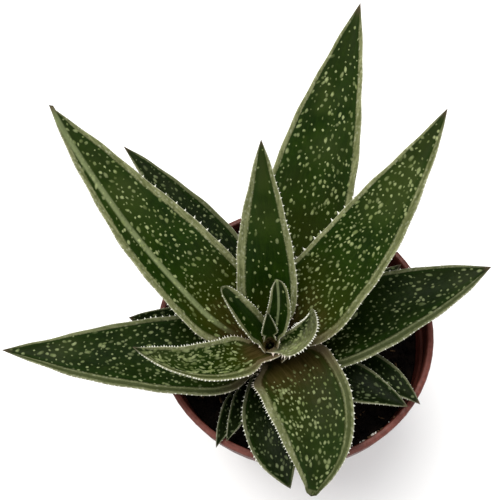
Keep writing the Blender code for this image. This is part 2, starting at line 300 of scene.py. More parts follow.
    def marks(self, t, x, under, wart=0.0, tooth=0.0):
        """What the leaf's material reads at a point."""
        t, x, under = (np.asarray(value, float) for value in (t, x, under))
        half = self.half_width(t)
        share = self.share(t)
        thin = np.where(under > 0.5, 0.6, 1.0)
        left, right = (1 - x) * half, (1 + x) * half
        rims = [inset / np.maximum(band * thin, 1e-7) for inset, band in zip((left, right), self.bands(t))]
        if self.skin.blunt:
            broadest = max(self.skin.band_left, self.skin.band_right)
            rims.append((1 - share) * self.length / (0.8 * MM * broadest))
        finer = max(1, 10 * MM / self.widest)
        stripe = (x - self.skin.stripe) * half / MM * finer if self.skin.stripe else np.full_like(x, 50.0)
        return {
            "along": share,
            "along_mm": share * self.length / MM,
            "across_mm": x * half / MM,
            "rim": np.minimum(np.min(rims, axis=0), 4),
            "ribbed": np.where(x > 0, self.skin.ribbed_left, self.skin.ribbed_right) * (1 - under),
            "edge_mm": np.minimum(left, right) / MM,
            "stripe": stripe,
            "under": under,
            "wart": np.broadcast_to(wart, x.shape),
            "tooth": np.broadcast_to(tooth, x.shape),
            "age_and_shade": np.full_like(x, self.skin.age_and_shade),
            "pale": self.skin.pale * smoothstep(-0.45, 0.15, -x),
            "tan": share / self.skin.tan,
            "dry": smoothstep(0.955, 0.995, share) * (0.15 if self.skin.blunt else 0.85),
        }


# ---- building the leaves ----


class Build:
    """Vertices, faces, marks and bake-map corners that are gathered into one mesh."""

    def __init__(self):
        self.points = []
        self.faces = []
        self.marks = []
        self.corners = []
        self.count = 0

    def add(self, points, marks, faces, corners):
        self.points.append(points)
        self.marks.append(marks)
        self.faces += [tuple(index + self.count for index in face) for face in faces]
        self.corners += corners
        self.count += len(points)

    def to_object(self, name, material):
        mesh = bpy.data.meshes.new(name)
        mesh.from_pydata(np.vstack(self.points).tolist(), [], self.faces)
        for key in self.marks[0]:
            layer = mesh.attributes.new(key, "FLOAT", "POINT")
            values = np.concatenate([marks[key] for marks in self.marks])
            layer.data.foreach_set("value", values.astype(np.float32))
        if self.corners:
            uv_map = mesh.uv_layers.new(name="OFBake")
            uv_map.data.foreach_set("uv", np.array(self.corners, np.float32).ravel())
        mesh.shade_smooth()
        mesh.materials.append(material)
        thing = bpy.data.objects.new(name, mesh)
        bpy.context.scene.collection.objects.link(thing)
        return thing


def face_outwards(thing):
    bm = bmesh.new()
    bm.from_mesh(thing.data)
    bmesh.ops.recalc_face_normals(bm, faces=bm.faces)
    bm.to_mesh(thing.data)
    bm.free()
    return thing


def upper_columns(blade, stations):
    """Places across the upper face, row by row, that follow the pale margins and the raised lines."""
    half = blade.half_width(stations)
    left, right = (band / half for band in blade.bands(stations))
    count = int(np.clip(blade.widest / MM * 1.2, 7, 19))
    anchors = [1 - RIM_COLUMNS[-1] * left]
    if blade.skin.stripe:
        for off in (1.2, 0.6, 0, -0.6, -1.2):
            anchors.append(np.minimum(blade.skin.stripe + off * MM / half, anchors[-1] - 0.01))
    anchors.append(-1 + RIM_COLUMNS[-1] * right)
    columns = [1 - share * left for share in RIM_COLUMNS[:-1]]
    for before, after in zip(anchors, anchors[1:]):
        steps = max(1, round(count * float((before - after).max()) / 2))
        columns += [before + (after - before) * step / steps for step in range(steps)]
    columns += [-1 + share * right for share in RIM_COLUMNS[::-1]]
    return np.stack(columns, axis=1)


def add_skin(build, blade):
    """The closed skin of the leaf: grids over the upper face and the underside that meet at the margins."""
    rows = int(np.clip(blade.length / MM / MM_PER_ROW, 16, 150))
    stations = blade.ring_at(np.linspace(0, 1, rows + 1) ** 0.94)[:-1]
    upper = upper_columns(blade, stations)
    even = np.linspace(-1, 1, int(np.clip(blade.widest / MM * 1.3, 11, 25)))
    lower = (0.45 * even + 0.55 * np.sin(even * pi / 2))[1:-1]
    x = np.hstack([upper, np.tile(lower, (rows, 1))])
    ring = x.shape[1]
    under = np.tile(np.arange(ring) >= upper.shape[1], rows).astype(float)
    t = np.repeat(stations, ring)
    points = blade.place(t, x.ravel(), under)
    marks = blade.marks(t, x.ravel(), under)
    tip = blade.marks([blade.top], [0.0], [0.0])
    root = blade.marks([0.0], [0.0], [0.0])
    points = np.vstack([points, blade.centre[-1], blade.centre[0]])
    marks = {key: np.concatenate([marks[key], tip[key], root[key]]) for key in marks}
    # the bake map: upper face in one strip, underside in the next
    scale = 0.97 / max(blade.length, 2.6 * 2 * blade.widest)
    shares = blade.share(stations) * blade.length * scale + 0.01
    end = blade.length * scale + 0.01
    across = x * (blade.half_width(stations) * scale)[:, None]
    strips = (0.01 + blade.widest * scale, 0.03 + 3 * blade.widest * scale)
    faces, corners = [], []
    tip_index, root_index = rows * ring, rows * ring + 1
    for column in range(ring):
        after = (column + 1) % ring
        middle = strips[0] if column < upper.shape[1] - 1 else strips[1]
        here = list(zip(shares, middle - across[:, column]))
        there = list(zip(shares, middle - across[:, after]))
        for row in range(rows - 1):
            one, two = row * ring, (row + 1) * ring
            faces.append((one + column, one + after, two + after, two + column))
            corners += [here[row], there[row], there[row + 1], here[row + 1]]
        last = (rows - 1) * ring
        faces.append((last + column, last + after, tip_index))
        corners += [here[-1], there[-1], (end, middle)]
        faces.append((after, column, root_index))
        corners += [there[0], here[0], (0.002, middle)]
    build.add(points, marks, faces, corners)
    return strips[1] + blade.widest * scale + 0.02


def scattered(blade, random, under):
    """Places for warts as (t, x), never closer than they grow, thinner towards the margins and the tip."""
    skin = blade.skin
    most = blade.widest / MM
    length = blade.length / MM
    tries = int(skin.warts * 2 * most * length * 9)
    share = random.uniform(0.02, 0.985, tries)
    across = random.uniform(-most, most, tries)
    t = blade.ring_at(share)
    width = blade.half_width(t) / MM
    bands = [band / MM * (0.6 if under else 1.0) for band in blade.bands(t)]
    band = np.where(across > 0, *bands)
    keep = width - np.abs(across) > band * random.uniform(0.95, 1.2, tries)
    keep &= share > skin.bare * random.uniform(0.75, 1.35, tries)
    keep &= random.uniform(0, 1, tries) > (share - 0.78) * 3.4
    area = 2 * blade.half_width(blade.ring_at(np.linspace(0, 1, 60))).mean() / MM * length
    wanted = int(skin.warts * (0.7 if under else 1.05) * area)
    closer = min(1, (0.17 / (skin.warts + 0.01)) ** 0.5)
    reach = random.choice([0.85, 1.35, 2.0], tries, p=[0.3, 0.45, 0.25]) * closer
    taken = np.empty((0, 2))
    places = []
    for index in np.flatnonzero(keep):
        spot = np.array([share[index] * length / 1.4, across[index]])
        if len(taken) and ((taken - spot) ** 2).sum(axis=1).min() < reach[index] ** 2:
            continue
        taken = np.vstack([taken, spot])
        places.append((t[index], across[index] / width[index]))
        if len(places) >= wanted:
            break
    return places


def grid_cells(count, cell, top_row):
    """Middles of small squares in the bake map, and the height at which they end."""
    per_row = int(0.98 / cell)
    number = np.arange(count)
    along = 0.01 + cell * (number % per_row + 0.5)
    up = top_row + cell * (number // per_row + 0.5)
    return np.stack([along, up], axis=1), top_row + cell * ((count - 1) // per_row + 1) + 0.01


def add_warts(build, blade, random, top_row):
    """Low oval warts, longer than wide, a little irregular, on both faces."""
    skin = blade.skin
    seats = [(t, x, 0.0) for t, x in scattered(blade, random, False)]
    seats += [(t, x, 1.0) for t, x in scattered(blade, random, True)]
    if not seats:
        return top_row
    t, x, under = np.array(seats).T
    count, sides = len(t), WART_SIDES
    half = blade.half_width(t)
    step = blade.place(np.minimum(t + 0.05, blade.top), x, under) - blade.place(t, x, under)
    rate = np.maximum(np.linalg.norm(step, axis=1) / 0.05, 1e-6)[:, None]
    radius = (0.23 + 0.33 * random.uniform(0, 1, (count, 1)) ** 1.8) * MM
    longer = random.uniform(0.9, skin.streak * 1.25, (count, 1))
    lean = random.normal(0, 0.25, (count, 1))
    bulge = random.uniform(0.08, 0.17, (count, 1)) * MM
    strength = random.uniform(0.3, 1.0, (count, 1))
    angles = np.tile(np.arange(sides) * 2 * pi / sides, 3)
    turn = np.concatenate([[0], angles])
    levels = ((0.5, 0.8, 0.95), (0.95, 0.35, 0.55), (1.45, -0.3, 0.0))  # reach, height, whiteness
    reach, lift, white = (np.concatenate([[first], np.repeat(ring, sides)])
                          for first, ring in zip((0, 1, 1), zip(*levels)))
    wobble = 1 + random.uniform(-0.18, 0.18, (count, sides))
    wobble = np.hstack([np.ones((count, 1)), wobble, wobble, wobble])
    forward = reach * wobble * np.cos(turn) * radius * longer
    sideways = reach * wobble * np.sin(turn) * radius
    ahead = forward * np.cos(lean) - sideways * np.sin(lean)
    aside = forward * np.sin(lean) + sideways * np.cos(lean)
    ts = (t[:, None] + ahead / rate).ravel()
    xs = np.clip(x[:, None] + aside / half[:, None], -0.995, 0.995).ravel()
    unders = np.repeat(under, len(turn))
    points = blade.place(ts, xs, unders) + blade.normal(ts, xs, unders) * (lift * bulge).ravel()[:, None]
    marks = blade.marks(ts, xs, unders, wart=(white * strength).ravel())
    cell = min(0.98 / int(np.ceil(np.sqrt(count / 0.3))), 0.025)
    middles, end = grid_cells(count, cell, top_row)
    around = np.stack([reach * np.cos(turn), reach * np.sin(turn)], axis=1) * cell * 0.36
    places = (middles[:, None] + around[None]).reshape(-1, 2)
    pattern = []
    for index in range(sides):
        after = (index + 1) % sides
        pattern.append((0, 1 + after, 1 + index))
        for ring in range(2):
            inner, outer = 1 + ring * sides, 1 + (ring + 1) * sides
            pattern.append((inner + index, inner + after, outer + after, outer + index))
    faces = []
    for number in range(count):
        start = number * len(turn)
        faces += [tuple(start + corner for corner in face) for face in pattern]
    corners = [tuple(places[corner]) for face in faces for corner in face]
    build.add(points, marks, faces, corners)
    return end


def add_teeth(build, blade, random, top_row):
    """White horny teeth along both margins, each a little pyramid that leans towards the tip."""
    skin = blade.skin
    seats = []
    margins = ((1.0, skin.teeth_left, skin.short_left), (-1.0, skin.teeth_right, skin.short_right))
    for x_side, spacing, short in margins:
        share = (spacing * random.uniform(0.3, 1.0)) * MM / blade.length + 0.04
        while share < 0.95:
            seats.append((share, x_side, spacing, short))
            closer = 1.25 - 0.5 * share
            share += spacing * MM * random.uniform(0.65, 1.4) * closer / blade.length
    share, x_side, spacing, short = np.array(seats).T
    count = len(share)
    t = blade.ring_at(share)
    half = blade.half_width(t)
    size = skin.tooth * short * MM * random.uniform(0.55, 1.05, count) * (1.1 - 0.65 * share)
    span = np.minimum(0.22 * MM + 0.36 * size, 0.3 * spacing * MM)
    rate = blade.length / blade.top
    inner = np.clip(1 - 0.25 * MM / half, 0.7, 0.99)
    ts = np.stack([t - span / rate, t, t + span / rate, t], axis=1)
    unders = np.tile([0.0, 0.0, 0.0, 1.0], (count, 1))
    xs = np.repeat((x_side * inner)[:, None], 4, axis=1)
    base = blade.place(ts.ravel(), xs.ravel(), unders.ravel()).reshape(count, 4, 3)
    level = np.zeros(count)
    rim = blade.place(t, x_side, level)
    ahead = base[:, 2] - base[:, 0]
    ahead /= np.linalg.norm(ahead, axis=1)[:, None]
    outwards = rim - blade.place(t, x_side * 0.8, level)
    outwards -= ahead * (outwards * ahead).sum(axis=1)[:, None]
    outwards /= np.linalg.norm(outwards, axis=1)[:, None]
    up = np.cross(ahead, outwards)
    up *= np.where(up[:, 2] > 0, 1, -1)[:, None]
    lean = ahead * random.uniform(0.1, 0.55, (count, 1)) + up * random.uniform(-0.05, 0.3, (count, 1))
    reach = (outwards + lean) * size[:, None]
    waist = rim[:, None] + (base - rim[:, None]) * 0.38 + reach[:, None] * 0.4
    points = np.concatenate([base, waist, (rim + reach)[:, None]], axis=1).reshape(-1, 3)
    whites = np.tile([0.4] * 4 + [0.9] * 4 + [1.0], count)
    ts, xs = np.repeat(t, TOOTH_POINTS), np.repeat(x_side, TOOTH_POINTS)
    marks = blade.marks(ts, xs, np.zeros(TOOTH_POINTS * count), tooth=whites)
    middles = grid_cells(count, TOOTH_CELL, top_row)[0]
    ring = np.array([(-1, -1), (1, -1), (1, 1), (-1, 1)])
    around = np.vstack([ring * 0.42, ring * 0.2, [(0, 0)]]) * TOOTH_CELL
    places = (middles[:, None] + around[None]).reshape(-1, 2)
    pattern = []
    for index in range(4):
        after = (index + 1) % 4
        pattern += [(index, after, 4 + after, 4 + index), (4 + index, 4 + after, 8)]
    starts = range(0, count * TOOTH_POINTS, TOOTH_POINTS)
    faces = [tuple(start + corner for corner in face) for start in starts for face in pattern]
    corners = [tuple(places[corner]) for face in faces for corner in face]
    build.add(points, marks, faces, corners)


def make_leaf(node, skin, stem_middle, seed, material):
    blade = Blade(node, skin, stem_middle, seed)
    random = np.random.default_rng(seed)
    build = Build()
    row = add_skin(build, blade)
    row = add_warts(build, blade, random, row)
    add_teeth(build, blade, random, row)
    return face_outwards(build.to_object(node.name.replace("leaf", "blade"), material))


# ---- materials ----


class Nodes:
    """Short names for building a material's node tree."""

    def __init__(self, name):
        self.material = bpy.data.materials.new(name)
        self.material.use_nodes = True
        self.tree = self.material.node_tree
        self.shader = self.tree.nodes["Principled BSDF"]

    def plug(self, socket, value):
        if isinstance(value, bpy.types.NodeSocket):
            self.tree.links.new(value, socket)
        elif value is not None:
            is_colour = isinstance(value, tuple) and len(value) == 3 and len(socket.default_value) == 4
            socket.default_value = (*value, 1) if is_colour else value

    def attribute(self, name):
        node = self.tree.nodes.new("ShaderNodeAttribute")
        node.attribute_name = name
        return node.outputs["Fac"]

    def math(self, operation, a, b=None):
        node = self.tree.nodes.new("ShaderNodeMath")
        node.operation = operation
        for socket, value in zip(node.inputs, (a, b)):
            self.plug(socket, value)
        return node.outputs[0]

    def ramp(self, value, low, high, start=0.0, end=1.0):
        node = self.tree.nodes.new("ShaderNodeMapRange")
        node.interpolation_type = "SMOOTHSTEP"
        names = ("Value", "From Min", "From Max", "To Min", "To Max")
        for name, number in zip(names, (value, low, high, start, end)):
            self.plug(node.inputs[name], number)
        return node.outputs[0]

    def mix(self, factor, a, b):
        node = self.tree.nodes.new("ShaderNodeMix")
        node.data_type = "RGBA"
        self.plug(node.inputs["Factor"], factor)
        self.plug(node.inputs[6], a)
        self.plug(node.inputs[7], b)
        return node.outputs[2]

    def vector(self, x, y, z):
        node = self.tree.nodes.new("ShaderNodeCombineXYZ")
        for socket, value in zip(node.inputs, (x, y, z)):
            self.plug(socket, value)
        return node.outputs[0]

    def noise(self, vector, scale, detail=3.0, roughness=0.5):
        node = self.tree.nodes.new("ShaderNodeTexNoise")
        self.plug(node.inputs["Vector"], vector)
        self.plug(node.inputs["Scale"], scale)
        self.plug(node.inputs["Detail"], detail)
        self.plug(node.inputs["Roughness"], roughness)
        return node.outputs["Fac"]

    def cells(self, vector, scale):
        node = self.tree.nodes.new("ShaderNodeTexVoronoi")
        self.plug(node.inputs["Vector"], vector)
        self.plug(node.inputs["Scale"], scale)
        return node.outputs["Distance"]

    def place(self):
        return self.tree.nodes.new("ShaderNodeTexCoord").outputs["Object"]

    def split(self, vector):
        node = self.tree.nodes.new("ShaderNodeSeparateXYZ")
        self.plug(node.inputs[0], vector)
        return node.outputs

    def scaled(self, vector, x, y, z):
        node = self.tree.nodes.new("ShaderNodeMapping")
        self.plug(node.inputs["Vector"], vector)
        node.inputs["Scale"].default_value = (x, y, z)
        return node.outputs[0]

    def bump(self, height, strength, distance, normal=None):
        node = self.tree.nodes.new("ShaderNodeBump")
        self.plug(node.inputs["Height"], height)
        node.inputs["Strength"].default_value = strength
        node.inputs["Distance"].default_value = distance
        self.plug(node.inputs["Normal"], normal)
        return node.outputs[0]


def leaf_material():
    n = Nodes("leaf_skin")
    along, along_mm, across_mm = n.attribute("along"), n.attribute("along_mm"), n.attribute("across_mm")
    rim, edge, under = n.attribute("rim"), n.attribute("edge_mm"), n.attribute("under")
    wart, tooth = n.attribute("wart"), n.attribute("tooth")
    age_and_shade, pale = n.attribute("age_and_shade"), n.attribute("pale")
    seed = n.math("MULTIPLY", n.attribute("seed"), 37.0)
    flat = n.vector(across_mm, along_mm, seed)
    # flesh of the blade: dark green, streaked lengthwise
    lengthwise = n.vector(across_mm, n.math("MULTIPLY", along_mm, 0.09), seed)
    clouds = n.noise(flat, 0.11, 3.0)
    streaks = n.noise(lengthwise, 1.1, 4.0, 0.6)
    mottle = n.noise(flat, 0.8, 3.0)
    green = n.mix(n.ramp(clouds, 0.35, 0.68), (0.0040, 0.0128, 0.0003), (0.0082, 0.0215, 0.0005))
    green = n.mix(n.ramp(streaks, 0.42, 0.72, 0.0, 0.5), green, (0.0135, 0.0285, 0.0012))
    green = n.mix(n.ramp(mottle, 0.3, 0.7, 0.3, 0.0), green, (0.0026, 0.0068, 0.0002))
    # painted sheen: pale grey patches on the outer half stand in for a soft glossy highlight
    sheen_patches = n.ramp(n.noise(flat, 0.05, 2.0), 0.42, 0.68)
    painted_sheen = n.math("MULTIPLY", sheen_patches, n.ramp(along, 0.4, 0.75, 0.0, 0.5))
    green = n.mix(painted_sheen, green, (0.034, 0.048, 0.010))
    # olive, then brown, where it leaves the stem
    tan = n.math("ADD", n.attribute("tan"), n.math("MULTIPLY", n.math("SUBTRACT", clouds, 0.5), 0.7))
    green = n.mix(n.ramp(tan, 0.7, 1.7, 0.75, 0.0), green, (0.0160, 0.0215, 0.0006))
    brown = n.mix(n.ramp(streaks, 0.35, 0.7), (0.026, 0.0175, 0.0035), (0.056, 0.039, 0.0125))
    green = n.mix(n.ramp(tan, 0.25, 0.95, 0.92, 0.0), green, brown)
    # greyer towards the tip
    green = n.mix(n.ramp(along, 0.68, 0.98, 0.0, 0.45), green, (0.018, 0.023, 0.0065))
    # underside, lighter and greyer
    green = n.mix(n.math("MULTIPLY", under, 0.5), green, (0.022, 0.034, 0.0075))
    # the low leaves: older, duller and greyer, and darkened further with painted shade, as if under the
    # leaves above them
    dull_and_shaded = n.mix(n.ramp(mottle, 0.3, 0.7), (0.0016, 0.0032, 0.0008), (0.0042, 0.0070, 0.0020))
    green = n.mix(n.math("MULTIPLY", age_and_shade, 0.88), green, dull_and_shaded)
    # pale margins, freckled, with a darker seam inside and a horny whitish edge
    fleck = n.cells(n.vector(across_mm, n.math("MULTIPLY", along_mm, 0.6), seed), 0.9)
    pale_green = n.mix(n.ramp(streaks, 0.3, 0.7), (0.090, 0.102, 0.038), (0.188, 0.198, 0.096))
    pale_green = n.mix(n.ramp(fleck, 0.1, 0.42, 0.6, 0.0), pale_green, (0.30, 0.31, 0.205))
    pale_green = n.mix(n.ramp(mottle, 0.48, 0.72, 0.0, 0.55), pale_green, (0.045, 0.055, 0.018))
    ragged = n.math("ADD", rim, n.math("MULTIPLY", n.math("SUBTRACT", n.noise(flat, 1.6, 2.0), 0.5), 0.3))
    slope = n.math("MULTIPLY", n.ramp(ragged, 0.22, 0.42), n.ramp(ragged, 0.70, 0.86, 1.0, 0.0))
    slope = n.math("MULTIPLY", slope, n.math("MULTIPLY", n.attribute("ribbed"), 0.85))
    pale_green = n.mix(slope, pale_green, (0.028, 0.038, 0.007))
    pale_green = n.mix(n.ramp(tan, 0.2, 0.95, 0.8, 0.0), pale_green, (0.105, 0.072, 0.040))
    # age and painted shade also darken the pale margins of the low leaves
    pale_green = n.mix(n.math("MULTIPLY", age_and_shade, 0.45), pale_green, (0.055, 0.064, 0.038))
    band = n.ramp(ragged, 0.80, 1.12, 1.0, 0.0)
    seam = n.math("MULTIPLY", n.ramp(rim, 0.95, 1.3), n.ramp(rim, 1.35, 1.9, 1.0, 0.0))
    green = n.mix(n.math("MULTIPLY", seam, 0.4), green, (0.008, 0.022, 0.002))
    strength = n.ramp(along, 0.86, 1.0, 1.0, 0.35)
    # age and painted shade also weaken the pale margins of the low leaves
    strength = n.math("MULTIPLY", strength, n.math("SUBTRACT", 1.0, n.math("MULTIPLY", age_and_shade, 0.35)))
    colour = n.mix(n.math("MULTIPLY", band, strength), green, pale_green)
    colour = n.mix(n.math("MULTIPLY", pale, n.ramp(mottle, 0.3, 0.6, 0.5, 1.0)), colour, pale_green)
    line = n.ramp(n.math("ABSOLUTE", n.attribute("stripe")), 0.5, 1.35, 0.95, 0.0)
    line = n.math("MULTIPLY", line, n.ramp(along, 0.08, 0.22))
    line = n.math("MULTIPLY", line, n.math("SUBTRACT", 1.0, under))
    line = n.math("MULTIPLY", line, n.ramp(mottle, 0.2, 0.5, 0.6, 1.0))
    colour = n.mix(line, colour, (0.135, 0.160, 0.072))
    horny = n.ramp(edge, 0.10, 0.40, 0.7, 0.0)
    horny = n.math("MULTIPLY", horny, n.ramp(n.noise(flat, 0.9, 2.0), 0.35, 0.6, 0.35, 1.0))
    colour = n.mix(n.math("MULTIPLY", horny, strength), colour, (0.42, 0.41, 0.31))
    # warts, teeth and the dry point
    whiter = n.ramp(n.noise(flat, 0.35, 2.0), 0.35, 0.65)
    wart_colour = n.mix(whiter, (0.128, 0.158, 0.052), (0.270, 0.305, 0.140))
    # warts on the low leaves are dimmer, from age and painted shade
    wart_colour = n.mix(n.math("MULTIPLY", age_and_shade, 0.75), wart_colour, (0.050, 0.066, 0.036))
    colour = n.mix(wart, colour, wart_colour)
    tooth_colour = n.mix(n.ramp(along, 0.05, 0.4), (0.62, 0.52, 0.45), (0.70, 0.70, 0.62))
    colour = n.mix(tooth, colour, tooth_colour)
    colour = n.mix(n.attribute("dry"), colour, (0.060, 0.042, 0.026))
    n.plug(n.shader.inputs["Base Color"], colour)
    gloss = n.ramp(n.noise(flat, 0.5, 3.0), 0.3, 0.7, 0.36, 0.50)
    gloss = n.math("ADD", gloss, n.math("MULTIPLY", n.math("MAXIMUM", wart, tooth), 0.12))
    n.plug(n.shader.inputs["Roughness"], gloss)
    grain = n.noise(n.vector(across_mm, n.math("MULTIPLY", along_mm, 0.4), seed), 2.6, 3.0)
    normal = n.bump(grain, 0.35, 0.12 * MM)
    normal = n.bump(streaks, 0.5, 0.25 * MM, normal)
    n.plug(n.shader.inputs["Normal"], normal)
    n.shader.inputs["Specular IOR Level"].default_value = 0.035
    return n.material


def soil_material():
    n = Nodes("soil_mix")
    place = n.place()
    grain = n.attribute("grain")
    coarse = n.noise(place, 260.0, 4.0)
    fine = n.noise(place, 1500.0, 4.0, 0.7)
    peat = n.mix(n.ramp(coarse, 0.35, 0.7), (0.0020, 0.0013, 0.0013), (0.011, 0.007, 0.0052))
    peat = n.mix(n.ramp(fine, 0.5, 0.8, 0.0, 0.6), peat, (0.030, 0.019, 0.013))
    bark = n.mix(n.ramp(fine, 0.3, 0.7), (0.05, 0.028, 0.014), (0.16, 0.095, 0.05))
    perlite = n.mix(n.ramp(fine, 0.3, 0.7), (0.34, 0.31, 0.27), (0.62, 0.60, 0.55))
    colour = n.mix(n.ramp(grain, 0.70, 0.76), peat, bark)
    colour = n.mix(n.ramp(grain, 0.93, 0.95), colour, perlite)
    n.plug(n.shader.inputs["Base Color"], colour)
    n.plug(n.shader.inputs["Roughness"], n.ramp(coarse, 0.3, 0.7, 0.82, 1.0))
    normal = n.bump(fine, 0.7, 0.5 * MM)
    n.plug(n.shader.inputs["Normal"], normal)
    n.shader.inputs["Specular IOR Level"].default_value = 0.08
    return n.material


def pot_material():
    n = Nodes("pot_plastic")
    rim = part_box("pot")[1].z
    place = n.place()
    x, y, z = n.split(place)
    squares = [n.math("POWER", axis, 2.0) for axis in (x, y)]
    radius = n.math("SQRT", n.math("ADD", *squares))
    runs = n.noise(n.scaled(place, 1.0, 1.0, 0.05), 520.0, 4.0, 0.65)
    cloud = n.noise(place, 45.0, 4.0)
    specks = n.noise(place, 2400.0, 2.0)
    colour = n.mix(n.ramp(cloud, 0.35, 0.65), (0.064, 0.0145, 0.0095), (0.080, 0.0185, 0.0120))
    colour = n.mix(n.ramp(runs, 0.55, 0.75, 0.0, 0.22), colour, (0.125, 0.038, 0.026))
    colour = n.mix(n.ramp(runs, 0.3, 0.45, 0.2, 0.0), colour, (0.024, 0.0050, 0.0035))
    # dust of soil on the inside and where the pot stands
    low = n.ramp(z, 0.0, 12 * MM, 0.55, 0.0)
    dust = n.math("MULTIPLY", low, n.ramp(cloud, 0.4, 0.7))
    colour = n.mix(dust, colour, (0.15, 0.09, 0.06))
    splash = n.math("MULTIPLY", n.ramp(specks, 0.62, 0.72), n.ramp(z, rim - 19 * MM, rim - 3 * MM, 0.6, 0.1))
    colour = n.mix(splash, colour, (0.012, 0.008, 0.006))
    # the lip is rubbed a little lighter
    lip = n.ramp(z, rim - 1.4 * MM, rim - 0.2 * MM)
    lip = n.math("MULTIPLY", lip, n.ramp(runs, 0.4, 0.65, 0.2, 0.8))
    colour = n.mix(lip, colour, (0.135, 0.040, 0.029))
    n.plug(n.shader.inputs["Base Color"], colour)
    n.plug(n.shader.inputs["Roughness"], n.ramp(cloud, 0.3, 0.7, 0.42, 0.58))
    turned = n.noise(n.vector(0.0, radius, z), 1600.0, 2.0)
    normal = n.bump(turned, 0.12, 0.1 * MM)
    normal = n.bump(specks, 0.12, 0.08 * MM, normal)
    n.plug(n.shader.inputs["Normal"], normal)
    n.shader.inputs["Specular IOR Level"].default_value = 0.22
    return n.material


def stem_material():
    n = Nodes("stem_skin")
    place = n.place()
    rings = n.noise(n.scaled(place, 1.0, 1.0, 6.0), 160.0, 4.0)
    fibres = n.noise(n.scaled(place, 1.0, 1.0, 0.15), 1300.0, 4.0)
    colour = n.mix(n.ramp(rings, 0.35, 0.65), (0.055, 0.042, 0.018), (0.16, 0.135, 0.062))
    colour = n.mix(n.ramp(fibres, 0.5, 0.8, 0.0, 0.6), colour, (0.22, 0.19, 0.11))
    # darker between the youngest leaves
    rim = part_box("pot")[1].z
    colour = n.mix(n.ramp(n.split(place)[2], rim - 3 * MM, rim + 7 * MM), colour, (0.012, 0.014, 0.002))
    n.plug(n.shader.inputs["Base Color"], colour)
    n.plug(n.shader.inputs["Roughness"], n.ramp(fibres, 0.3, 0.7, 0.6, 0.85))
    n.plug(n.shader.inputs["Normal"], n.bump(rings, 0.6, 0.4 * MM))
    n.shader.inputs["Specular IOR Level"].default_value = 0.1
    return n.material


# ---- soil, pot and stem ----


def add_grain(build, middle, size, flat, turn, kind, random):
    """One crumb: a rough little ball, flattened and turned."""
    bm = bmesh.new()
    bmesh.ops.create_icosphere(bm, subdivisions=1, radius=1)
    points = np.array([vert.co for vert in bm.verts])
    faces = [tuple(vert.index for vert in face.verts) for face in bm.faces]
    bm.free()
    points *= random.uniform(0.72, 1.2, (len(points), 1))
    points *= np.array(flat) * size
    points = points @ np.array(Matrix.Rotation(turn[0], 3, "Z") @ Matrix.Rotation(turn[1], 3, "X")).T + middle
    build.add(points, {"grain": np.full(len(points), kind)}, faces, [])


